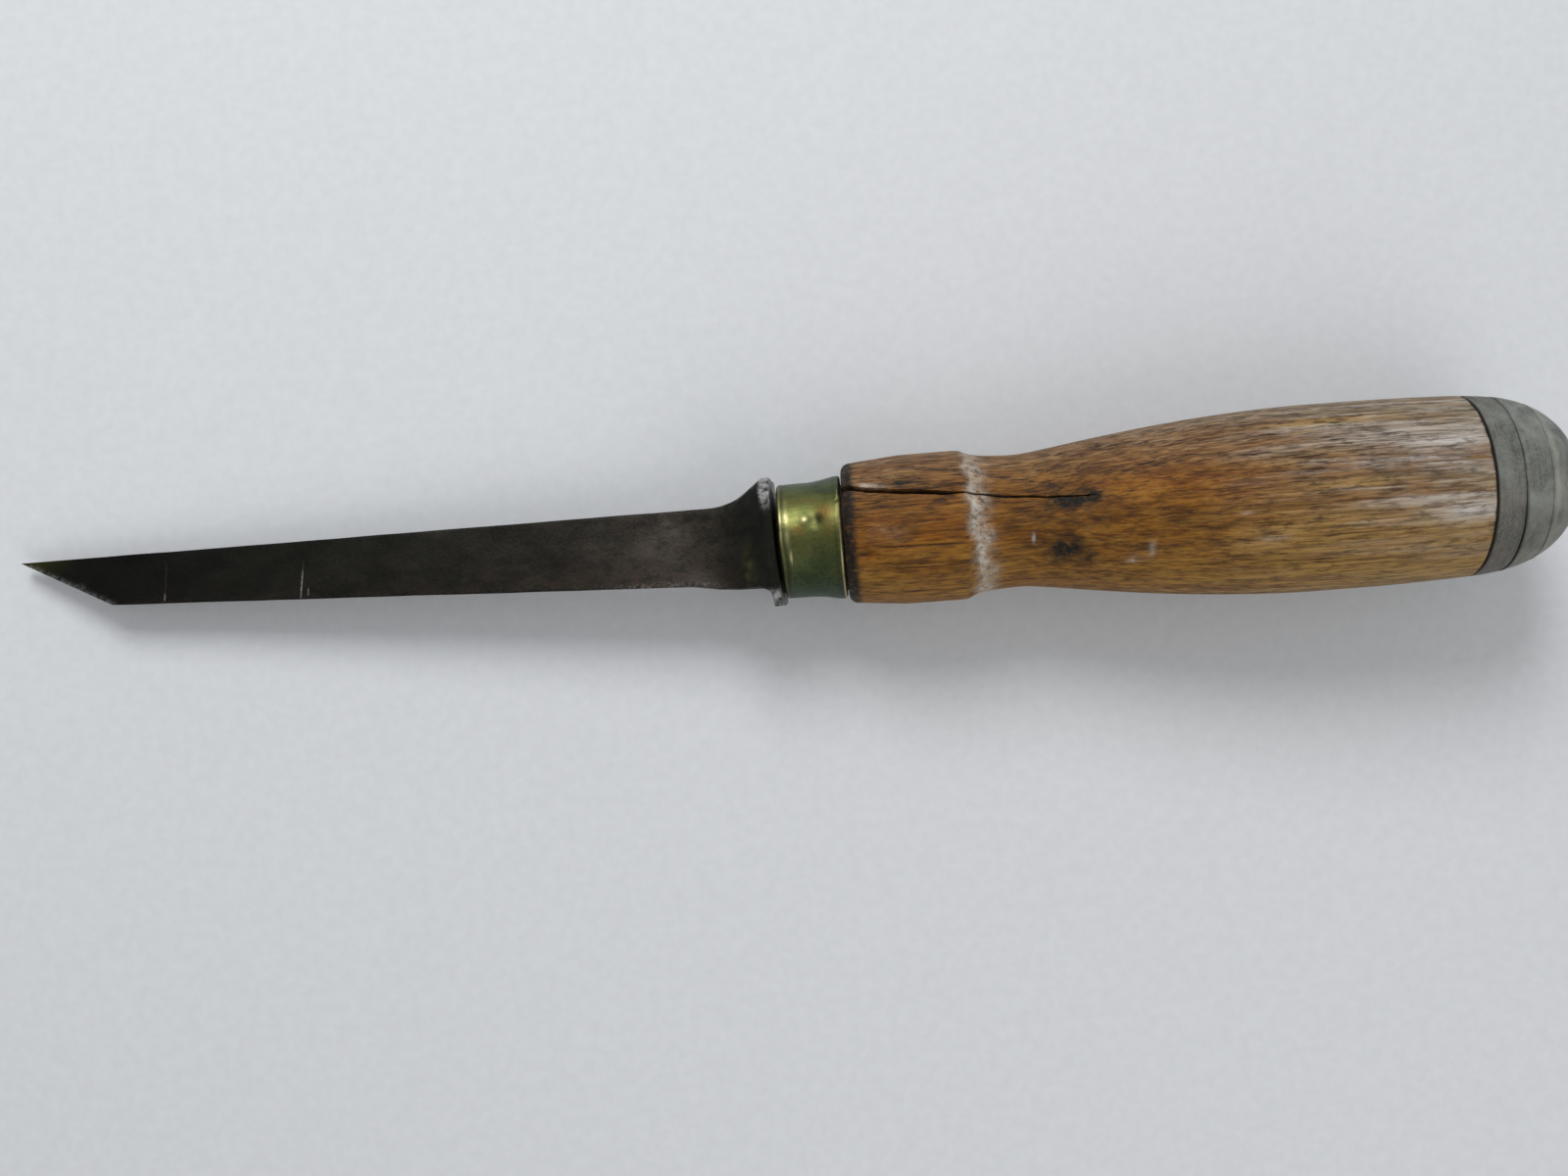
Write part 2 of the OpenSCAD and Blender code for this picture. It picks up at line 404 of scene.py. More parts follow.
def blade_ring(behind):
    """One section of the V, `behind` mm behind the cutting edge along the keel.

    The first section lies in the slanted end, and the sections turn square to
    the tool by the end of the groove.
    """
    square_u = GROOVE_END
    share = min(behind / (square_u + BLADE_LEN), 1)
    u_keel = -BLADE_LEN + behind
    u_rim = max(HEEL_U + (square_u - HEEL_U) * share, u_keel)
    top, low, half = keel_v(u_keel), rim_v(u_rim), half_w(u_rim)
    drop = top - low

    def u_at(v):
        return u_keel + (u_rim - u_keel) * (top - v) / drop

    root = top - EDGE_LAND
    for _ in range(ROOT_STEPS):
        root = float(groove_v(np.array(u_at(root))))
    root = min(root, top - EDGE_LAND)
    h = np.linspace(0, 1, SIDE_POINTS)
    v_out = top - drop * h
    w_out = KEEL_W / 2 + (half - KEEL_W / 2) * h
    v_in = root + (low - root) * h
    w_in = GROOVE_FLAT / 2 + (half - RIM_T - GROOVE_FLAT / 2) * h
    from_edge = behind * math.sin(END_SLANT)
    outer_at = KEEL_W / 2 + (half - KEEL_W / 2) * (top - v_in) / drop
    w_in = np.maximum(w_in, outer_at - EDGE_LAND - from_edge * math.tan(BEVEL))
    flat = np.linspace(-1, 1, FLAT_POINTS)
    rim = np.linspace(0, 1, RIM_POINTS + 2)[1:-1]
    w_rim = half + (w_in[-1] - half) * rim
    v_all = np.concatenate([np.full(FLAT_POINTS - 2, top), v_out, np.full(RIM_POINTS, low),
                            v_in[::-1], np.full(FLAT_POINTS - 2, root), v_in,
                            np.full(RIM_POINTS, low), v_out[::-1]])
    w_all = np.concatenate([flat[1:-1] * KEEL_W / 2, w_out, w_rim, w_in[::-1],
                            -flat[1:-1] * w_in[0], -w_in, -w_rim[::-1], -w_out[::-1]])
    return np.stack([u_at(v_all), v_all, w_all], 1)


def edge_pairs():
    """Quads that close the cutting edge between its outer and inner lines.

    A section's points run over the keel's flat, down the right side outside, over the
    rim, up the groove, over its root, and back the same way on the left.
    """
    flats, sides, rims = FLAT_POINTS - 2, SIDE_POINTS, RIM_POINTS
    one_side = flats + 2 * sides + rims
    right_out = [flats + k for k in range(sides)]
    right_in = [one_side - 1 - k for k in range(sides)]
    left_in = [one_side + flats + k for k in range(sides)]
    left_out = [2 * one_side - 1 - k for k in range(sides)]
    right_rim = [flats + sides + k for k in range(rims)]
    left_rim = [2 * one_side - sides - 1 - k for k in range(rims)]
    pairs = []
    for outer, rim, inner in ((right_out, right_rim, right_in), (left_out, left_rim, left_in)):
        pairs += [(outer[k], inner[k], inner[k + 1], outer[k + 1]) for k in range(sides - 1)]
        pairs.append([outer[-1], *rim, inner[-1]])
    keel = [left_out[0], *range(flats), right_out[0]]
    root = [right_in[0], *range(one_side, one_side + flats), left_in[0]]
    pairs += [(keel[k], keel[k + 1], root[-2 - k], root[-1 - k]) for k in range(flats + 1)]
    return pairs


def bolster_reach(ring, u):
    """Pushes a section's points out to the flared bolster at u."""
    flare_r, flare_u = 15, -12.2
    under_r, side_r, side_u = 3.5, 34, -27
    belly_u = -7
    top = keel_v(flare_u) - 0.15 + flare_r
    top -= math.sqrt(flare_r ** 2 - min(max(u - flare_u, 0), flare_r) ** 2)
    belly = rim_v(belly_u) - 0.6
    slope = (rim_v(BOLSTER_START) + 0.5 - belly) / (belly_u - BOLSTER_START)
    low = belly + slope * max(0, belly_u - u)
    under_u = -0.6 - under_r
    if u > under_u:
        low = belly - under_r + math.sqrt(under_r ** 2 - (u - under_u) ** 2)
    side = 0.4 + side_r - math.sqrt(side_r ** 2 - min(u - side_u, side_r) ** 2)
    top = min(top, NECK_V + FLANGE_H / 2)
    return octagon_reach(ring, top - NECK_V, low - NECK_V, min(side, FLANGE_W / 2))


def octagon_reach(ring, top, low, side, grow=True):
    """Moves points along their own direction from the neck's centre to a clipped octagon.

    With grow, points only move outward, and melt into the blade's own sides.
    """
    away = ring[:, 1:] - np.array([NECK_V, 0])
    own = np.linalg.norm(away, axis=1)
    away = away / own[:, None]
    clip = (FLANGE_H + FLANGE_W) / 2 - FLANGE_CLIP
    walls = ((1, 0, top), (-1, 0, -low), (0, 1, side), (0, -1, side),
             (1, 1, clip), (1, -1, clip), (-1, 1, clip), (-1, -1, clip))
    reach = np.full(len(own), 1e3)
    for a, b, limit in walls:
        along = a * away[:, 0] + b * away[:, 1]
        reach = np.where(along > 1e-6, np.minimum(reach, limit / np.maximum(along, 1e-6)), reach)
    if grow:
        started = rise(ring[:, 0].mean(), BOLSTER_START, BOLSTER_START + 10)
        melt = MELT * started * rise(np.abs(away[:, 1]), 0.25, 0.6) + 1e-3
        near = np.clip(1 - np.abs(reach - own) / melt, 0, 1)
        reach = np.maximum(reach, own) + near ** 2 * melt / 4
    out = ring.copy()
    out[:, 1:] = away * reach[:, None] + np.array([NECK_V, 0])
    return out


def flange_ring(ring, u, inset):
    """The flange's outline at u, drawn in by inset."""
    out = octagon_reach(ring, FLANGE_H / 2 - inset, -FLANGE_H / 2 + inset,
                        FLANGE_W / 2 - inset, grow=False)
    out[:, 0] = u
    return out


def tang_ring(ring, u):
    """The square tang, which tapers away from the bolster."""
    half = (TANG_ROOT + (TANG_TIP - TANG_ROOT) * u / TANG_LEN) / 2
    out = ring.copy()
    away = ring[:, 1:] - np.array([NECK_V, 0])
    away = away / np.abs(away).max(1)[:, None]
    out[:, 1:] = away * half + np.array([NECK_V, 0])
    out[:, 0] = u
    return out


# scratches across the cheek: u, lean, lowest v, highest v, and the v below which they are bright
SCRATCHES = ((-115, 0.02, -3.2, 4.4, -2.2), (-88.7, 0.06, -4.4, 3.3, 0.2),
             (-87.4, 0.05, -4.0, -2.0, -3.0))


def blade_material():
    s = Shader("patinated_steel")
    mottle = s.noise(s.stretch((0.11, 0.2, 0.2)), detail=6, rough=0.6)
    fine = s.noise(s.stretch((2.2, 2.6, 2.6)), detail=5, rough=0.7)
    brushed = s.noise(s.stretch((0.08, 6.0, 6.0)), detail=3)
    colour = s.ramp(mottle, [(0.3, (0.013, 0.012, 0.009)), (0.5, (0.026, 0.023, 0.018)),
                             (0.72, (0.043, 0.037, 0.030))])
    colour = s.blend(s.span(fine, 0.44, 0.75, 0, 0.45), colour, (0.085, 0.072, 0.060))
    # painted shading along the blade: darker toward the point, palest just in front of the bolster
    painted_shading = s.ramp(s.span(s.u, -143, -5), [
        (0.10, (0.12, 0.13, 0.12)), (0.36, (0.26, 0.29, 0.25)), (0.60, (0.42, 0.44, 0.40)),
        (0.77, (0.60, 0.58, 0.56)), (0.86, (0.95, 0.91, 0.90)), (0.91, (1.40, 1.34, 1.32)),
        (0.95, (1.45, 1.40, 1.36)), (0.99, (0.75, 0.80, 0.72))])
    colour = s.blend(1.0, colour, painted_shading, kind="MULTIPLY")
    rust = s.noise(s.stretch((0.30, 0.5, 0.5)), detail=5, rough=0.65, warp=0.3)
    maroon = s.times(s.span(s.v, 2, -5), s.span(s.u, -100, -30, 0.15, 0.6))
    maroon = s.times(maroon, s.span(rust, 0.42, 0.62))
    colour = s.blend(maroon, colour, (0.042, 0.027, 0.020))
    colour = s.blend(s.span(rust, 0.52, 0.36, 0, 0.45), colour, (0.006, 0.007, 0.005))
    # painted shade toward the rims, the side away from the light, from mid blade to the point
    painted_rim_side_shade = s.times(s.span(s.v, 3, -5, 0, 0.34), s.span(s.u, -26, -40))
    colour = s.blend(painted_rim_side_shade, colour, (0.003, 0.003, 0.002))
    olive = s.times(s.span(s.u, -132, -143, 0, 0.8), s.span(s.v, 3, 6))
    colour = s.blend(olive, colour, (0.040, 0.040, 0.009))
    # painted shade on the bolster's flare, which faces the point and gets little light
    bolster_painted_shade = s.span(s.u, -11, -3, 0, 0.6)
    colour = s.blend(bolster_painted_shade, colour, (0.007, 0.009, 0.007))
    # painted highlight, olive-tinted, where the bolster's belly curves
    olive = s.times(s.mask("olive"), s.span(rust, 0.40, 0.60, 0.15, 0.8))
    colour = s.blend(olive, colour, (0.075, 0.078, 0.026))
    rim_wear = s.times(s.mask("rim"), s.span(fine, 0.47, 0.60))
    colour = s.blend(rim_wear, colour, (0.125, 0.110, 0.100))
    scratches = None
    for place, lean, low, high, full in SCRATCHES:
        off = s.calc("SUBTRACT", s.u, s.times(s.v, lean))
        off = s.calc("ABSOLUTE", s.calc("SUBTRACT", off, place))
        line = s.span(off, 0.22, 0.06)
        line = s.times(line, s.span(s.v, low, low + 0.6))
        line = s.times(line, s.span(s.v, high, high - 1.0))
        line = s.times(line, s.span(s.v, full + 0.9, full, 0.10, 1.0))
        line = s.times(line, s.span(fine, 0.38, 0.58, 0.15, 0.8))
        scratches = line if scratches is None else s.larger(scratches, line)
    colour = s.blend(scratches, colour, (0.24, 0.21, 0.19))
    filed = s.noise(s.stretch((0.9, 0.9, 0.9)), detail=4, rough=0.6)
    bright = s.times(s.mask("bright"), s.span(fine, 0.34, 0.56, 0.35, 1.0))
    bright = s.times(bright, s.span(filed, 0.38, 0.56, 0.12, 1.0))
    colour = s.blend(bright, colour, (0.60, 0.58, 0.57))
    rough = s.span(mottle, 0.3, 0.7, 0.56, 0.42)
    rough = s.calc("SUBTRACT", rough, s.times(bright, 0.1))
    pits = s.noise(s.stretch((1.1, 1.1, 1.1)), detail=6, rough=0.75)
    normal = s.bump(s.span(pits, 0.35, 0.65), 0.35, 0.10)
    normal = s.bump(brushed, 0.12, 0.06, normal)
    normal = s.bump(s.calc("SUBTRACT", fine, scratches), 0.25, 0.05, normal)
    s.feed(s.surface.inputs["Metallic"], s.span(bright, 0, 1, 0.55, 0.95))
    return s.finish(colour, rough, normal, Specular_IOR_Level=0.12)


def blade_grid():
    """Sections from the cutting edge over the bolster to the end of the tang.

    They crowd together behind the edge, where the bevels are.
    """
    near_edge = [0, 0.25, 0.5, 0.8, 1.1, 1.5, 1.9, 2.4, 3.0, 3.7, 4.5, 5.4, 6.4]
    along = np.concatenate([near_edge, np.arange(7, GROOVE_END + BLADE_LEN, 0.45)])
    rings = [blade_ring(b) for b in along]
    for u in np.arange(GROOVE_END, -FLANGE_T, 0.3):
        ring = blade_ring(u + BLADE_LEN)
        rings.append(bolster_reach(ring, u) if u > BOLSTER_START else ring)
    last = rings[-1]
    bevel = 0.12
    flange = ((-FLANGE_T, bevel), (-FLANGE_T + bevel, 0), (-1.1, 0), (-0.8, 0), (-0.5, 0),
              (-bevel, 0), (0, bevel), (0, 2), (0, 5))
    rings += [flange_ring(last, u, inset) for u, inset in flange]
    rings += [tang_ring(last, u) for u in (0.01, 8, 20, 36, 52, 66, TANG_LEN)]
    return np.array(rings)


def hand_forged(grid, rim_zone):
    """Makes the faces slightly uneven, the flange chipped and the bolster skewed, in place."""
    u, v, w = grid[..., 0].copy(), grid[..., 1].copy(), grid[..., 2].copy()
    chipped = ripple(grid, 0.9, 5) * 0.20 + ripple(grid, 3.5, 6) * 0.12 - 0.20
    scale = 1 + rim_zone * chipped / np.maximum(np.hypot(v - NECK_V, w), 1)
    grid[..., 1] = NECK_V + (v - NECK_V) * scale
    grid[..., 2] = w * scale
    on_bar = rise(u, -136, -120) * (1 - rise(u, -16, -10))
    grid[..., 1] += on_bar * 0.05 * ripple(grid, 9, 21)
    grid[..., 2] += on_bar * 0.035 * ripple(grid, 7, 22) * np.sign(w)
    skewed = rise(u, -9, -FLANGE_T) * (u <= 0.005)
    grid[..., 0] = u - math.tan(FLANGE_SKEW) * (grid[..., 1] - NECK_V) * skewed


def blade_masks(u, v, grid, rim_zone):
    """Worn bright metal on the flange's ends and the edge, speckled rims, and a painted olive
    highlight on the bolster's belly.

    u and v are places from before the corners were rounded, and grid is the final one.
    """
    ends = np.maximum(rise(v, 5.5, 8.5), rise(-v, 8.6, 10.2))
    filed = rim_zone * ends * (0.75 + 0.4 * ripple(grid, 1.2, 9))
    behind_edge = (grid[..., 0] + BLADE_LEN) * math.sin(END_SLANT)
    behind_edge = behind_edge - (KEEL_TIP_V - v) * math.cos(END_SLANT)
    edge = band(behind_edge, 0, 0.55) * (v < KEEL_TIP_V - 0.4) * (u < HEEL_U + 3)
    nick = band(u, -131.3, 0.45) * band(behind_edge, 0, 0.7)
    bright = np.maximum(filed, np.maximum(edge * 0.22, nick * 0.8))
    rim = band(v, rim_v(np.minimum(u, -8)), 0.8) * rise(u, -125, -118)
    rim = rim * (0.10 + 0.90 * rise(u, -36, -26)) * (1 - rise(u, -12, -9))
    # painted highlight where the bolster's belly curves
    olive = spot(u, v, (-4.9, -5.2), (1.0, 3.4)) * (u < -1)
    return {"bright": np.clip(bright, 0, 1), "rim": rim, "olive": olive}


def make_blade():
    grid = blade_grid()
    u, v, w = grid[..., 0], grid[..., 1], grid[..., 2]
    rim_zone = rise(u, -FLANGE_T - 0.6, -FLANGE_T) * (np.hypot(v - NECK_V, w) > 9) * (u <= 0.005)
    hand_forged(grid, rim_zone)
    # forged corners are a little round, ground ones near the point are crisp
    rounded = (np.roll(grid, 1, 1) + 2 * grid + np.roll(grid, -1, 1)) / 4
    share = rise(u, -118, -110)[..., None] * 0.9
    grid = grid + (rounded - grid) * share
    masks = blade_masks(u, v, grid, rim_zone)
    piece = build("parting_blade", grid, False, masks, 32, edge_pairs())
    rest_on_frame(piece, "blade", blade_material())


# ---- ferrule ----

def brass_material():
    s = Shader("tarnished_brass")
    patch = s.noise(s.stretch((0.16, 0.22, 0.22)), detail=5, rough=0.6, warp=0.4)
    fine = s.noise(s.stretch((1.8, 1.8, 1.8)), detail=5, rough=0.7)
    turned_lines = s.noise(s.stretch((5.0, 0.12, 0.12)), detail=3)
    colour = s.ramp(patch, [(0.3, (0.060, 0.066, 0.018)), (0.5, (0.118, 0.128, 0.034)),
                            (0.7, (0.170, 0.150, 0.045))])
    green = s.calc("ADD", s.span(s.v, 3, -10, 0, 0.95), s.span(fine, 0.4, 0.7, -0.2, 0.3), True)
    colour = s.blend(green, colour, (0.026, 0.048, 0.026))
    warm = s.times(s.mask("warm"), s.span(fine, 0.30, 0.60, 0.35, 0.9))
    colour = s.blend(warm, colour, (0.160, 0.090, 0.022))
    far_side = s.span(s.v, 6.5, 10, 0, 0.7)
    colour = s.blend(far_side, colour, (0.050, 0.078, 0.056))
    # dirt, and painted shade on the dent's dark wall and along both edges
    grime_and_painted_shade = s.times(s.mask("grime_and_painted_shade"), s.span(fine, 0.3, 0.6, 0.7, 1.0))
    colour = s.blend(grime_and_painted_shade, colour, (0.020, 0.016, 0.008))
    # painted highlights on the lips and on the punch mark, and a bright scratch
    bright = s.times(s.mask("bright"), s.span(fine, 0.30, 0.55, 0.5, 1.0))
    colour = s.blend(bright, colour, (0.66, 0.56, 0.30))
    rough = s.calc("SUBTRACT", s.span(patch, 0.3, 0.7, 0.46, 0.34), s.times(bright, 0.1))
    normal = s.bump(s.span(fine, 0.3, 0.7), 0.22, 0.08)
    normal = s.bump(turned_lines, 0.10, 0.05, normal)
    return s.finish(colour, rough, normal, Metallic=0.85)


def ferrule_profile():
    """The tube's closed outline: rounded lips, a flared rear edge and a plain bore."""
    x0, x1 = FERRULE_U
    lip, chamfer = 0.5, 0.3
    outer = joined(arc((x0 + lip, FERRULE_R - lip), lip, 180, 90, 8), (x0 + 5, FERRULE_R),
                   run((x0 + 5, FERRULE_R), (x0 + 7, FERRULE_R),
                       (x1 - 3, FERRULE_REAR_R - 0.25), (x1 - lip, FERRULE_REAR_R), 10),
                   arc((x1 - lip, FERRULE_REAR_R - lip), lip, 90, 0, 8))
    inner = joined((x1, FERRULE_BORE + chamfer / 2), (x1 - chamfer, FERRULE_BORE),
                   (x0 + chamfer, FERRULE_BORE), (x0, FERRULE_BORE + chamfer / 2))
    return spaced(joined(outer, inner, outer[:1]), 0.22)[:-1]


def ferrule_masks(u, r, a, arc_v, scratch):
    """Dirt and painted shade in the dent and along both edges, painted highlights on the lips and the
    punch mark, a bright scratch, and warm patches.
    """
    # painted shadow in the dent beside the raised punch mark; dirt and shade along both edges
    grime_and_painted_shade = 0.8 * spot(u, arc_v, (7.9, 3.4), (0.8, 1.0))
    grime_and_painted_shade = grime_and_painted_shade + 0.55 * band(u, 1.7, 0.3) + 0.35 * band(u, 10.9, 0.35)
    # painted highlights: streaks on the front lip, strongest where it faces the light, a line on the
    # rear lip, and a spot on the punch mark
    streak = 0.5 + 0.5 * ripple(turned(0 * u, 9, a), 1.6, 33)
    facing = band(a, 0.25, 0.42)
    front = band(u, 1.05, 0.28) * (0.25 + 0.75 * facing) * streak
    front = np.maximum(front, band(u, 2.25, 0.4) * facing * streak * 0.7)
    rear_u = FERRULE_U[1]
    rear = rise(u, rear_u - 0.5, rear_u - 0.25) * (r > FERRULE_REAR_R - 0.55) * rise(-a, -0.75, -0.55)
    bright = front + rear + 0.9 * scratch + 0.5 * spot(u, arc_v, (5.5, 3.4), (0.5, 0.6))
    warm = spots(u, arc_v, ((1.0, (9.2, 4.8), (1.5, 1.5)), (0.8, (4.4, 1.6), (1.1, 1.2)),
                            (0.5, (9.8, 1.5), (1.2, 1.5))))
    return {"grime_and_painted_shade": grime_and_painted_shade, "bright": bright, "warm": warm}


def make_ferrule():
    u, r, a = swept(ferrule_profile(), FERRULE_POINTS)
    skin = (r > FERRULE_BORE + 0.3) * 1.0
    arc_v = r * a
    flat = turned(u, r, a)
    dent = spot(u, arc_v, (7.6, FERRULE_R * math.radians(18.2)), (0.95, 1.2))
    pimple = spot(u, arc_v, (5.6, FERRULE_R * math.radians(18.6)), (0.9, 0.9))
    scratch = spot(u, arc_v, (2.7, FERRULE_R * math.radians(-17.9)), (0.16, 1.1))
    kink = spot(u, arc_v, (11.8, FERRULE_REAR_R * math.radians(34)), (0.5, 0.35))
    lip_groove = band(u, 1.75, 0.22) * (0.6 + 0.4 * np.cos(3 * a + 1))
    uneven = ripple(flat, 6, 31) * 0.07 + ripple(flat, 2.2, 32) * 0.03
    r = r + skin * (uneven - 0.08 - 0.22 * dent + 0.16 * pimple - 0.05 * scratch
                    - 0.07 * lip_groove - 0.3 * kink)
    x0, x1 = FERRULE_U
    toward_front = 1 - (u - x0) / (x1 - x0)
    skewed_u = u - math.tan(FERRULE_SKEW) * r * np.sin(a) * toward_front
    masks = ferrule_masks(u, r, a, arc_v, scratch)
    masks = {key: skin * np.clip(values, 0, 1) for key, values in masks.items()}
    piece = build("brass_ferrule", turned(skewed_u, r, a, NECK_V), True, masks, 50)
    rest_on_frame(piece, "ferrule", brass_material())


# ---- handle ----

# the long crack's place: u, and degrees from the top toward the keel
CRACK_PATH = ((0, 38), (12.3, 38.5), (16, 33.5), (20, 29.5), (25, 26), (30, 23.6), (34, 22.8),
              (38, 21), (43, 18), (46.5, 16.8), (51, 14), (55, 13), (60, 13), (140, 13))


def handle_profile():
    """The outer line of the wood, from the shoulder to the leather."""
    return joined(
        (SHOULDER_U, SHOULDER_START_R),
        arc((SHOULDER_U + 1.6, SHOULDER_R - 1.6), 1.6, 180, 95, 8),
        (COLLAR_U, COLLAR_R),
        run((COLLAR_U, COLLAR_R), (COLLAR_U + 3, RIDGE_R), (28, RIDGE_R), (31, RIDGE_R), 8),
        run((31, RIDGE_R), (32.5, RIDGE_R), (33.4, RIDGE_R), (33.9, RIDGE_R - 0.12), 5),
        run((33.9, RIDGE_R - 0.12), (34.8, 12.95), (36.2, 12.1), (43.5, 12), 24),
        run((43.5, 12), (48.5, 12), (71, 17.05), (98, 16.7), 44),
        run((98, 16.7), (108, 16.7), (WOOD_END - 6, BUTT_R + 0.3),
            (WOOD_END - 0.35, BUTT_R + 0.02), 19),
        (WOOD_END, BUTT_R - 0.45))


def early_wood(s):
    """1 in the open-pored part of each growth ring, around a pith far below the handle."""
    pith_v, pith_w = -7.0, -34.0
    lean_v, lean_w = 0.05, 0.16
    ring_gap = 2.1
    wander = s.add("ShaderNodeTexNoise", {"Vector": s.stretch((0.012, 0.05, 0.05)), "Scale": 1.0,
                                          "Detail": 2.0}).outputs["Color"]
    wander = s.vector("SCALE", s.vector("SUBTRACT", wander, (0.5, 0.5, 0.5)), scale=16.0)
    split = s.add("ShaderNodeSeparateXYZ", {0: s.vector("ADD", s.mm, wander)})
    along, across, depth = split.outputs
    across = s.calc("SUBTRACT", across, s.times(along, lean_v))
    across = s.calc("SUBTRACT", across, pith_v)
    depth = s.calc("SUBTRACT", depth, s.times(along, lean_w))
    depth = s.calc("SUBTRACT", depth, pith_w)
    distance = s.calc("SQRT", s.calc("ADD", s.times(across, across), s.times(depth, depth)))
    ring = s.calc("FRACT", s.calc("DIVIDE", distance, ring_gap))
    return s.times(s.span(ring, 0.0, 0.12), s.span(ring, 0.60, 0.22))


def bare_wood(s, streak):
    """1 where the wax has gone: toward the butt, along the sides and underneath."""
    toward_butt = s.span(s.u, 72, 118)
    far_side = s.span(s.v, 5, 14, 0, 0.75)
    near_side = s.span(s.v, -13.0, -16.5, 0, 0.6)
    below = s.span(s.w, 3, -10, 0, 0.35)
    bare = s.calc("ADD", s.larger(s.larger(far_side, near_side), below), toward_butt)
    return s.times(bare, s.span(streak, 0.36, 0.62, 0.30, 1.0), True)


def honey_wood(s, fibre, streak):
    """1 where the bare wood is clean and yellow, mostly on the side away from the keel."""
    honey = s.times(s.span(s.v, 1, -9, 0, 0.8), s.span(s.u, 60, 88))
    honey = s.larger(honey, s.span(s.v, -3, -12, 0, 0.55))
    honey = s.larger(honey, s.mask("honey"))
    honey = s.times(honey, s.span(fibre, 0.36, 0.58, 0.20, 1.0))
    honey = s.times(honey, s.span(streak, 0.38, 0.58, 0.65, 1.0))
    return s.times(honey, s.span(s.w, 0, 8, 0.3, 1.0))


def bleached_wood(s, fibre):
    """1 in the nearly white streaks in front of the leather."""
    streaks = s.noise(s.stretch((0.028, 0.34, 0.34)), detail=4, rough=0.6)
    pale = s.times(s.span(streaks, 0.50, 0.62), s.span(s.u, 76, 110, 0, 0.62))
    pale = s.times(pale, s.span(s.v, -9, -3, 0.3, 1.0))
    pale = s.larger(pale, s.mask("bleached"))
    return s.times(pale, s.span(fibre, 0.36, 0.54, 0.25, 1.0))


def pore_dashes(s, early):
    """1 in the dark dashes of open pores, most on the keel's side, fewer near the leather."""
    pore = s.noise(s.stretch((0.32, 2.9, 2.9)), detail=2, rough=0.5)
    much = s.larger(s.span(s.v, -2, 6, 0.55, 1.0), s.span(s.u, 60, 110, 0.0, 0.5))
    much = s.times(much, s.span(s.u, 98, 112, 1.0, 0.35))
    return s.times(s.times(s.span(pore, 0.54, 0.61), much), s.span(early, 0, 0.6, 0.55, 1))


def weathered(s, colour, early, fibre, streak):
    """The handle's wear, dirt and painted shade over clean wood: the new colour, the pores and the
    roughness.
    """
    bare = bare_wood(s, streak)
    grey = s.ramp(fibre, [(0.30, (0.070, 0.054, 0.034)), (0.46, (0.205, 0.172, 0.118)),
                          (0.66, (0.440, 0.400, 0.320))])
    colour = s.blend(s.times(bare, 0.80), colour, grey)
    colour = s.blend(honey_wood(s, fibre, streak), colour, (0.460, 0.265, 0.056))
    colour = s.blend(bleached_wood(s, fibre), colour, (0.560, 0.520, 0.475))
    soiled = s.noise(s.stretch((0.30, 1.1, 1.1)), detail=5, rough=0.65, warp=0.2)
    colour = s.blend(s.span(soiled, 0.50, 0.36, 0, 0.55), colour, (0.040, 0.016, 0.005))
    colour = s.blend(s.span(soiled, 0.56, 0.70, 0, 0.35), colour, (0.430, 0.235, 0.055))
    dashes = pore_dashes(s, early)
    colour = s.blend(s.times(dashes, 0.88), colour, (0.030, 0.016, 0.010))
    worn = s.noise(s.stretch((0.9, 0.9, 0.9)), detail=6, rough=0.7)
    pale_wear = s.times(s.mask("pale"), s.span(worn, 0.36, 0.56, 0.15, 1.0))
    colour = s.blend(pale_wear, colour, (0.56, 0.52, 0.44))
    # dirt, and painted shade in the cracks, the dents and the gap at the shoulder
    grime_and_painted_shade = s.times(s.mask("grime_and_painted_shade"), s.span(worn, 0.26, 0.52, 0.35, 1.0), True)
    colour = s.blend(grime_and_painted_shade, colour, (0.012, 0.010, 0.008))
    flecks = s.times(s.span(worn, 0.70, 0.76), s.span(s.u, 100, 60, 0.1, 0.7))
    colour = s.blend(flecks, colour, (0.62, 0.52, 0.40))
    rough = s.calc("ADD", s.span(bare, 0, 1, 0.48, 0.70), s.span(worn, 0.3, 0.7, -0.06, 0.08))
    return colour, dashes, rough


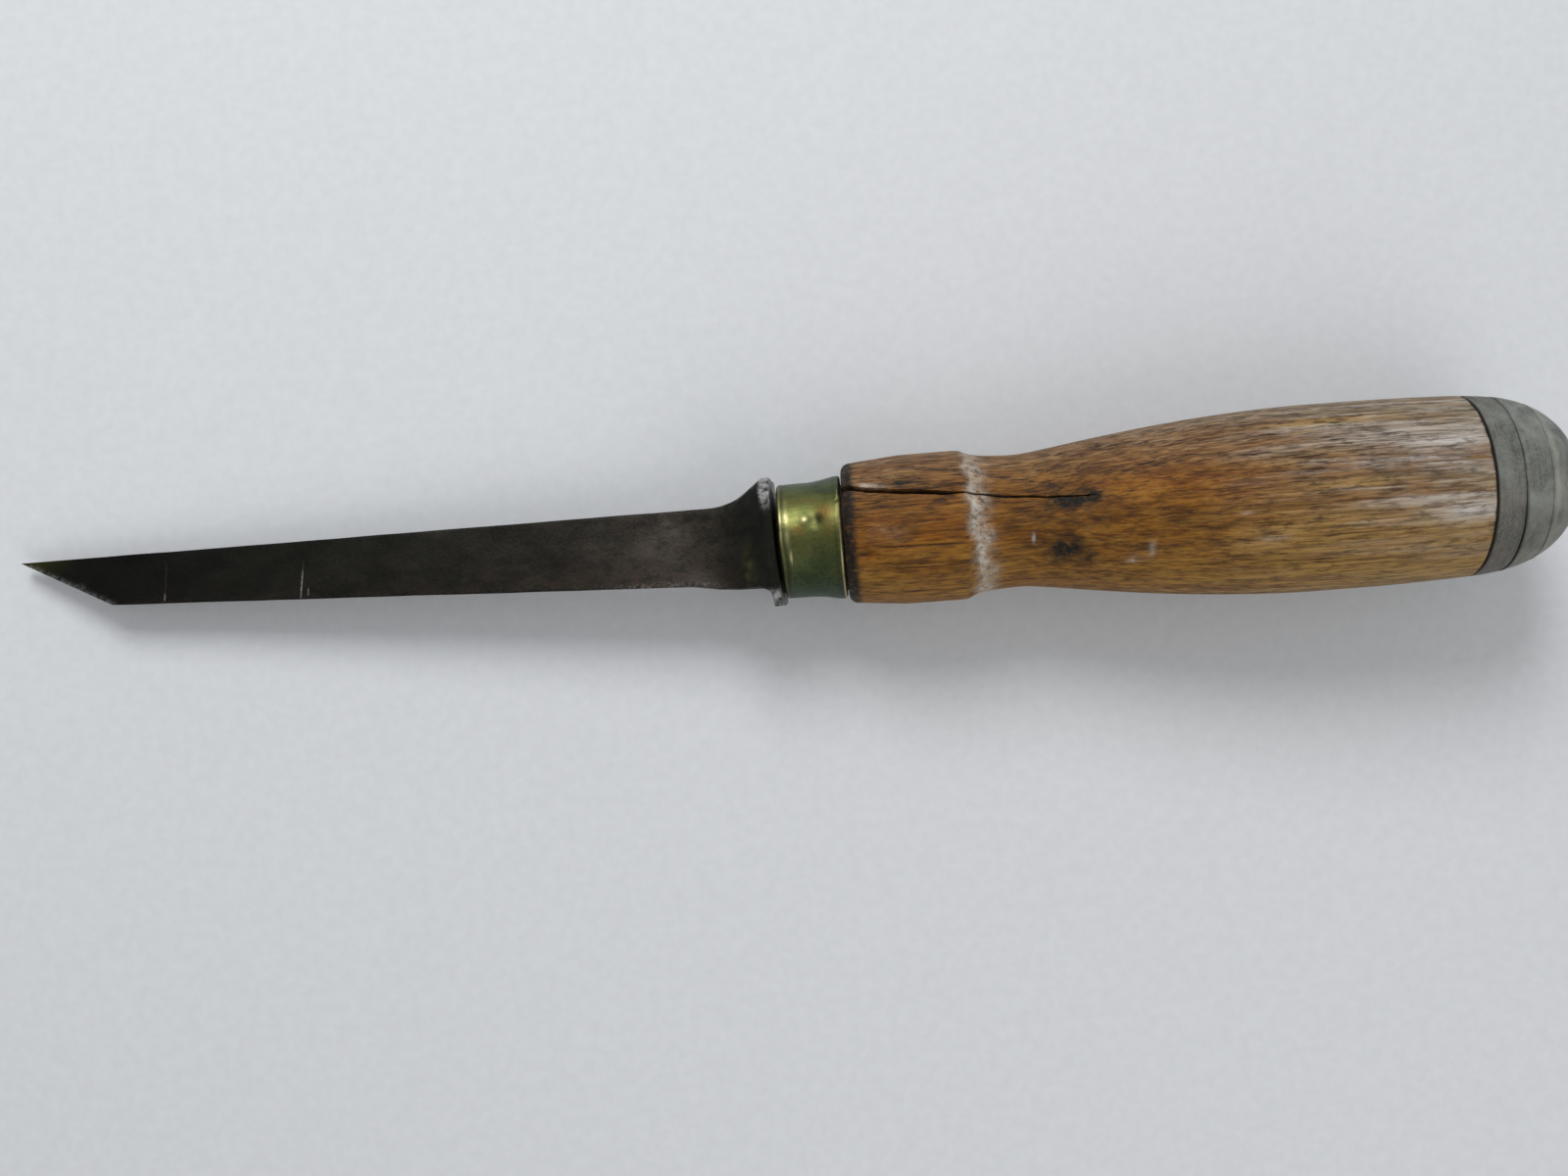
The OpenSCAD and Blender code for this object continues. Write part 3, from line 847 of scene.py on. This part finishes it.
def wood_material(name, handled):
    """Ash: handled is True for the waxed and worn handle, False for the peg, with dirt and painted
    shade in its end.
    """
    s = Shader(name)
    early = early_wood(s)
    fibre = s.noise(s.stretch((0.05, 2.4, 2.4)), detail=5, rough=0.65)
    streak = s.noise(s.stretch((0.022, 0.5, 0.5)), detail=5, rough=0.6)
    cloud = s.noise(s.stretch((0.03, 0.09, 0.09)), detail=3)
    colour = s.ramp(streak, [(0.30, (0.050, 0.016, 0.002)), (0.43, (0.135, 0.044, 0.004)),
                             (0.55, (0.235, 0.086, 0.006)), (0.70, (0.340, 0.155, 0.018))])
    colour = s.blend(s.span(cloud, 0.40, 0.62, 0, 0.55), colour, (0.225, 0.062, 0.003))
    colour = s.blend(s.times(early, 0.52), colour, (0.068, 0.024, 0.004))
    colour = s.blend(s.span(fibre, 0.42, 0.64, 0, 0.45), colour, (0.340, 0.168, 0.030))
    colour = s.blend(s.span(fibre, 0.46, 0.31, 0, 0.75), colour, (0.034, 0.013, 0.003))
    height = s.span(fibre, 0.3, 0.7)
    if handled:
        colour, dashes, rough = weathered(s, colour, early, fibre, streak)
        height = s.calc("SUBTRACT", height, s.times(dashes, 1.4))
    else:
        colour = s.blend(s.span(fibre, 0.35, 0.60, 0.85, 0.55), colour, (0.115, 0.082, 0.050))
        # dirt and painted shade in the end's checks and at its rim
        colour = s.blend(s.mask("grime_and_painted_shade"), colour, (0.014, 0.010, 0.008))
        rough = s.span(fibre, 0.3, 0.7, 0.55, 0.75)
    normal = s.bump(height, 0.45, 0.16)
    normal = s.bump(streak, 0.25, 0.5, normal)
    return s.finish(colour, rough, normal, Specular_IOR_Level=0.15)


HANDLE_POINTS = 312
WOOD_STEP = 0.42
FIT_GAP = 0.05
RIDGE_U = 34.3
# the radius of the tiny ring where a piece or a hole ends at the axis
ON_AXIS = 0.02

# marks on the wood, each an amount, its place (u, distance around) and its size, in mm
DENTS = ((1.0, (64.0, -7.3), (1.3, 0.8)), (0.6, (61.5, -8.6), (1.2, 0.5)),
         (0.5, (54.8, 3.0), (0.5, 1.0)), (0.4, (67, -4.5), (1.6, 0.4)),
         (0.35, (86, -5.0), (1.8, 0.7)), (0.3, (97, -7), (2.0, 0.8)))
STAINS = ((1.5, (52.0, 2.3), (3.6, 1.1)), (1.3, (56.0, 3.0), (1.1, 0.9)),
          (1.6, (50.6, -6.5), (3.2, 1.9)), (0.9, (54.4, -8.2), (1.3, 0.8)),
          (0.7, (22.7, 8.2), (4.0, 0.7)), (0.5, (20, 3.6), (4, 0.6)), (0.4, (26, 5), (4, 0.5)),
          (0.8, (111.5, 6.8), (5.5, 0.18)), (0.6, (99, -3.3), (6, 0.22)),
          (0.35, (108, 2.4), (8, 0.9)), (0.6, (116, 5.2), (4, 0.2)),
          (0.6, (104, 9.9), (6, 0.2)), (0.5, (90, 7.6), (4, 0.25)))
MOTTLED_STAINS = ((0.7, (57.0, -1.4), (1.6, 0.8)), (0.7, (22.7, 8.2), (4.0, 0.7)),
                  (0.75, (51, 0), (8, 9)))
SCUFFS = ((0.5, (65.0, -7.3), (0.6, 1.3)), (0.6, (61.8, -9.6), (0.9, 0.3)),
          (0.5, (80.6, -2.2), (1.2, 0.3)))
BLOTCHY_SCUFFS = ((0.5, (62.8, -8.8), (1.6, 0.6)), (0.14, (20, -0.6), (3, 1.6)),
                  (0.5, (85.5, -6.9), (2.0, 0.6)))
BLEACHED = ((1.0, (115, 7.9), (9, 1.5)), (0.6, (100, 9.2), (6, 0.9)),
            (1.0, (118, -4.6), (7, 2.0)), (0.5, (107, -2.4), (5, 0.8)))
HONEY = ((0.9, (106, -11.6), (10, 1.6)), (0.8, (97, 14.4), (11, 0.9)), (0.5, (100, 1.5), (9, 0.8)))


def handle_section():
    """The wood's line from the tang's hole over the skin into the peg's hole.

    The second result is 1 for points of the outer skin and 0 for the others.
    """
    neck_r = FERRULE_BORE - FIT_GAP
    tang_hole_end, tang_hole_r, mouth_r = TANG_LEN + 0.5, 2.3, 5.2
    front = joined((tang_hole_end, ON_AXIS), (tang_hole_end, tang_hole_r), (FERRULE_U[0], mouth_r),
                   (FERRULE_U[0], neck_r), (SHOULDER_U, neck_r))
    peg_hole_end, peg_hole_r = WOOD_END - PEG_DEPTH, PEG_R + FIT_GAP
    rear = joined((WOOD_END, peg_hole_r), (peg_hole_end, peg_hole_r), (peg_hole_end, ON_AXIS))
    parts = (spaced(front, 6), spaced(handle_profile(), WOOD_STEP), spaced(rear, 4))
    on_skin = [np.full(len(part), k == 1, float) for k, part in enumerate(parts)]
    return np.vstack(parts), np.concatenate(on_skin)


def long_crack(u, side):
    """The drying crack: widest at the shoulder, a hairline past the ridge.

    side is the distance from its middle line. The results are how open it is,
    how deep it goes and how far the lip beside it is lifted.
    """
    width = np.interp(u, (12, 16, 30, 34, 38, 46, 56), (0.62, 0.52, 0.42, 0.16, 0.24, 0.22, 0.12))
    depth = np.interp(u, (12, 20, 32, 36, 46, 55, 57), (2.6, 2.0, 1.3, 0.4, 0.7, 0.35, 0))
    side = side + 0.12 * ripple(np.stack([u, 0 * u, 0 * u], -1), 3.0, 41)
    gap = np.clip(1 - np.abs(side) / width, 0, 1) ** 0.6
    lifted = 0.10 * band(side, 1.0, 0.5) * (1 - rise(u, 17, 22))
    return gap, depth, lifted


def thin_crack(u, arc_v):
    """The hairline crack beside the long one, which leans a little across the grain."""
    middle = -3.398 - 0.02 * (u - 18)
    return band(arc_v, middle, 0.16) * rise(u, 17, 20) * (1 - rise(u, 33, 36))


def wood_grime_and_shade(u, arc_v, flat, gap, thin, dent):
    """Dirt and painted shade in the cracks, in the dents away from the light and at both ends of the
    wood; dirt in the dark stains.
    """
    blotch = 0.5 + 0.5 * ripple(flat, 1.6, 45)
    mottled = 0.5 + 0.5 * ripple(flat * np.array([0.6, 1, 1]), 1.0, 47)
    stained = spots(u, arc_v, STAINS) + spots(u, arc_v, MOTTLED_STAINS) * mottled
    # dirt with painted shade in the two cracks, and dirt in the stains
    grime_and_painted_shade = np.clip(gap * 1.6 * (u < 57), 0, 1) + 0.75 * thin + stained * (0.5 + 0.6 * blotch)
    # painted shade, with dirt, in the gap behind the ferrule and in the dents on the side away from
    # the light
    at_shoulder = 1 - rise(u, 13.6, 15.1)
    grime_and_painted_shade = grime_and_painted_shade + 1.15 * at_shoulder + 0.5 * dent * (arc_v < -7)
    ragged_end = WOOD_END - 0.25 - 0.22 * ripple(flat, 1.7, 49)
    return grime_and_painted_shade + 0.85 * rise(u, ragged_end - 0.2, ragged_end + 0.1)


def wood_pale(u, arc_v, flat, gap, lifted):
    """The worn ring behind the ridge, the crack's pale lip, and scuffs."""
    blotch = 0.5 + 0.5 * ripple(flat, 1.6, 45)
    off = u - 35.5 + 0.05 * arc_v - 0.7 * ripple(flat, 2.6, 46) - 0.25 * ripple(flat, 0.9, 48)
    ring = band(off, 0, np.where(off < 0, 1.1, 2.1)) * (1 - 0.32 * rise(arc_v, 2, 6))
    pale = ring * (0.60 + 0.55 * blotch) + 7 * lifted * (1 - gap) * rise(u, 14, 16.5)
    pale = pale + 0.95 * spot(u, arc_v, (45.1, -3.6), (0.28, 0.75)) * (1.2 - 0.3 * blotch)
    return pale + spots(u, arc_v, SCUFFS) + spots(u, arc_v, BLOTCHY_SCUFFS) * blotch


def make_handle():
    line, on_skin = handle_section()
    # points crowd together beside the crack and open out on the far side
    t = np.linspace(-1, 1, HANDLE_POINTS + 1)[:-1]
    offset = math.pi * (0.30 * t + 0.70 * t ** 3)[None, :]
    path = np.array(CRACK_PATH, float)
    crack_at = np.radians(np.interp(line[:, 0], path[:, 0], path[:, 1]))[:, None]
    u = line[:, :1] + 0 * offset
    r = line[:, 1:] + 0 * offset
    a = crack_at + offset
    skin = on_skin[:, None] * rise(r, 9.6, 10.6)
    flat = turned(u, r, a)
    arc_v = r * ((a + math.pi) % (2 * math.pi) - math.pi)
    gap, depth, lifted = long_crack(u, r * offset)
    thin = thin_crack(u, arc_v)
    dent = spots(u, arc_v, DENTS)
    chips = np.clip(ripple(flat, 1.3, 43) - 0.15, 0, 1) * band(u, RIDGE_U, 0.9)
    uneven = 0.5 + 0.5 * ripple(flat * np.array([0.4, 1, 1]), 5.5, 42)
    grain_line = np.clip(ripple(flat * np.array([0.05, 1, 1]), 0.8, 44) - 0.2, 0, 1)
    carved = depth * gap + 0.28 * thin + 0.38 * dent + 0.35 * chips + 0.07 * uneven
    carved = carved + 0.10 * grain_line * rise(u, 70, 112)
    r = r - skin * np.maximum(carved - lifted, 0)
    # the neck and the holes are centred on the tang, the skin on the handle's own axis
    before = line[:, :1] < SHOULDER_U - 0.01
    inner = ~before & (line[:, 1:] < SHOULDER_FULL_R)
    centre = np.where(before, NECK_V, 0) + 0 * u
    centre = np.where(inner, NECK_V * (1 - rise(r, SHOULDER_START_R, SHOULDER_FULL_R)), centre)
    masks = {"grime_and_painted_shade": np.clip(wood_grime_and_shade(u, arc_v, flat, gap, thin, dent), 0, 1),
             "pale": np.clip(wood_pale(u, arc_v, flat, gap, lifted), 0, 0.95),
             "bleached": np.clip(spots(u, arc_v, BLEACHED), 0, 0.9),
             "honey": np.clip(spots(u, arc_v, HONEY), 0, 0.9)}
    piece = build("turned_handle", turned(u, r, a, centre), False, masks, 50)
    rest_on_frame(piece, "handle", wood_material("worn_ash", handled=True))


# ---- leather washers and the peg ----

def leather_material(name, tint, ruddy):
    s = Shader(name)
    mottle = s.noise(s.stretch((0.22, 0.16, 0.16)), detail=5, rough=0.62, warp=0.3)
    layers = s.noise(s.stretch((2.6, 0.10, 0.10)), detail=4, rough=0.6)
    fibre = s.noise(s.stretch((2.2, 2.2, 2.2)), detail=6, rough=0.75)
    shades = [tuple(c * k for c in tint) for k in (0.48, 1.0, 1.55)]
    colour = s.ramp(mottle, [(0.38, shades[0]), (0.50, shades[1]), (0.62, shades[2])])
    colour = s.blend(s.span(layers, 0.40, 0.66, 0, 0.40), colour, (0.240, 0.225, 0.180))
    colour = s.blend(s.span(fibre, 0.44, 0.70, 0, 0.45), colour, (0.290, 0.275, 0.230))
    colour = s.blend(s.span(fibre, 0.44, 0.28, 0, 0.55), colour, (0.045, 0.036, 0.026))
    reddish = s.times(s.span(s.v, 2, -13, 0, ruddy), s.span(mottle, 0.35, 0.6))
    colour = s.blend(reddish, colour, (0.150, 0.088, 0.058))
    colour = s.blend(s.mask("pale"), colour, (0.420, 0.390, 0.330))
    # dirt and painted shade in the seam, more on the low half, away from the light
    colour = s.blend(s.mask("grime_and_painted_shade"), colour, (0.018, 0.013, 0.010))
    rough = s.span(fibre, 0.3, 0.7, 0.62, 0.82)
    normal = s.bump(s.span(fibre, 0.25, 0.75), 0.45, 0.12)
    normal = s.bump(layers, 0.30, 0.15, normal)
    return s.finish(colour, rough, normal)


def crown():
    """The worn, rounded end over all three washers."""
    return joined(
        (WOOD_END, BUTT_R),
        run((WOOD_END, BUTT_R), (WOOD_END + 6.5, BUTT_R - 0.3), (BUTT_END - 6, BUTT_R - 1.7),
            (BUTT_END - 2.2, 9.8), 60),
        run((BUTT_END - 2.2, 9.8), (BUTT_END - 0.8, 7.6), (BUTT_END - 0.2, 5.6),
            (BUTT_END - 0.2, 4.9), 20))


def washer_profile(start, end, edge):
    """A washer's closed outline: its share of the crown with both corners rounded."""
    whole = crown()
    last = end >= BUTT_END
    keep = whole[(whole[:, 0] > start + edge) & ((whole[:, 0] < end - edge) | last)]
    r_at = np.interp((start, start + edge * 0.4, end - edge * 0.4, end), whole[:, 0], whole[:, 1])
    outer = joined((start, r_at[0] - edge), (start + edge * 0.35, r_at[1] - edge * 0.3), keep)
    if not last:
        outer = joined(outer, (end - edge * 0.35, r_at[2] - edge * 0.3), (end, r_at[3] - edge))
    bore = PEG_R + 0.03
    back_u = outer[-1, 0]
    return spaced(joined(outer, (back_u, bore), (start, bore), outer[:1]), 0.3)[:-1]


def make_washer(start, end, name, node, slot, edge, tint, ruddy, seam, seed):
    u, r, a = swept(washer_profile(start, end, edge), WASHER_POINTS)
    flat = turned(u, r, a)
    skin = rise(r, PEG_R + 0.3, PEG_R + 1.5)
    r = r - skin * (0.05 + 0.05 * ripple(flat, 3.5, seed) + 0.03 * ripple(flat, 1.1, seed + 1))
    # on a circle of one size, so that the field changes only around the washer
    around = turned(0 * u, 16, a)
    in_seam = rise(u, start - 0.1, start + 0.1) * (1 - rise(u, start + 0.3, start + 1.0))
    u = u + in_seam * 0.06 * (1 + ripple(around, 1.5, seed + 2))
    at_seam = 1 - rise(u, start + 0.15, start + 0.50)
    everywhere, low_half = seam
    # dirt and painted shade in the seam, darker on the low half, away from the light
    grime_and_painted_shade = skin * at_seam * (everywhere + low_half * rise(-np.sin(a), -0.1, 0.6))
    pale = 0 * u
    if end >= BUTT_END:
        # the third seam shows only as a paler ring
        ring = band(u, start + 0.9 + 0.2 * ripple(around, 3, 71), 0.5)
        pale = skin * (0.55 * ring * (0.6 + 0.4 * ripple(flat, 2, 72)))
    masks = {"grime_and_painted_shade": np.clip(grime_and_painted_shade, 0, 1), "pale": np.clip(pale, 0, 1)}
    piece = build(name, turned(u, r, a), True, masks, 60)
    rest_on_frame(piece, node, leather_material(name + "_leather", tint, ruddy))


# piece, CAD node, slot, rounding of the corners, tint, ruddiness of the low side, darkness of
# the seam in front of it from dirt and painted shade (everywhere, and more on the low half,
# away from the light), and seed
WASHERS = (
    ("leather_washer_1", "inner_washer", "inner_leather", 0.45, (0.100, 0.107, 0.096), 0.55,
     (1.0, 0.0), 51),
    ("leather_washer_2", "middle_washer", "middle_leather", 0.20, (0.156, 0.174, 0.156), 0.3,
     (0.2, 0.8), 61),
    ("leather_washer_3", "outer_washer", "outer_leather", 0.06, (0.168, 0.185, 0.165), 0.3,
     (0.0, 0.0), 71))


def make_washers():
    ends = (WOOD_END, WOOD_END + WASHER_T, WOOD_END + 2 * WASHER_T, BUTT_END)
    for start, end, washer in zip(ends[:-1], ends[1:], WASHERS):
        make_washer(start, end, *washer)


def make_peg():
    start = WOOD_END - PEG_DEPTH + 0.5
    shaft_r = PEG_R - 0.02
    profile = joined((start, ON_AXIS), (start, PEG_R - 0.4), (start + 0.4, shaft_r),
                     (BUTT_END - 0.35, shaft_r), (BUTT_END - 0.1, PEG_R - 0.3),
                     (BUTT_END - 0.02, PEG_R - 1.6), (BUTT_END, ON_AXIS))
    u, r, a = swept(spaced(profile, 0.5), PEG_POINTS)
    end_face = rise(u, BUTT_END - 0.4, BUTT_END - 0.2)
    checks = band(r * (a - 0.8), 0, 0.28) + 0.7 * band(r * (a + 2.1), 0, 0.22)
    checks = checks * end_face * rise(r, 0.3, 1.2) * (1 - rise(r, 3.6, 4.8))
    rim = end_face * rise(r, PEG_R - 0.7, PEG_R - 0.2)
    u = u - end_face * (0.06 + 0.06 * ripple(turned(u, r, a), 1.6, 81)) - 0.25 * checks
    # dirt and painted shade in the end's checks and along its rim
    masks = {"grime_and_painted_shade": np.clip(checks + 0.8 * rim, 0, 1)}
    piece = build("butt_peg", turned(u, r, a), False, masks, 40)
    rest_on_frame(piece, "washer_peg", wood_material("peg_ash", handled=False))


# ---- floor and light ----

def add_floor():
    bpy.ops.mesh.primitive_plane_add(size=3)
    floor = bpy.context.object
    floor.name = "floor"
    s = Shader("pale_floor")
    grain = s.noise(s.stretch((0.5, 0.5, 0.5)), detail=3)
    colour = s.ramp(grain, [(0.3, (0.70, 0.71, 0.72)), (0.7, (0.74, 0.75, 0.76))])
    floor.data.materials.append(s.finish(colour, 0.75, s.bump(grain, 0.05, 0.05)))


def add_light(name, place, size, power, colour=(1, 1, 1)):
    data = bpy.data.lights.new(name, "AREA")
    data.shape = "DISK"
    data.size = size
    data.energy = power
    data.color = colour
    lamp = bpy.data.objects.new(name, data)
    lamp.location = place
    lamp.rotation_euler = (-Vector(place)).to_track_quat("-Z", "Y").to_euler()
    bpy.context.scene.collection.objects.link(lamp)


def add_lights():
    add_light("window", (-0.10, 0.62, 0.62), 0.42, 4.6, (0.97, 0.98, 1.0))
    add_light("fill", (0.35, -0.55, 0.60), 0.70, 1.55, (1.0, 0.98, 0.96))
    world = bpy.data.worlds.new("soft_room")
    world.use_nodes = True
    world.node_tree.nodes["Background"].inputs["Color"].default_value = (0.93, 0.96, 1.0, 1)
    world.node_tree.nodes["Background"].inputs["Strength"].default_value = 0.40
    bpy.context.scene.world = world
    bpy.context.scene.view_settings.view_transform = "Standard"


add_camera()
make_blade()
make_ferrule()
make_handle()
make_washers()
make_peg()
add_floor()
add_lights()
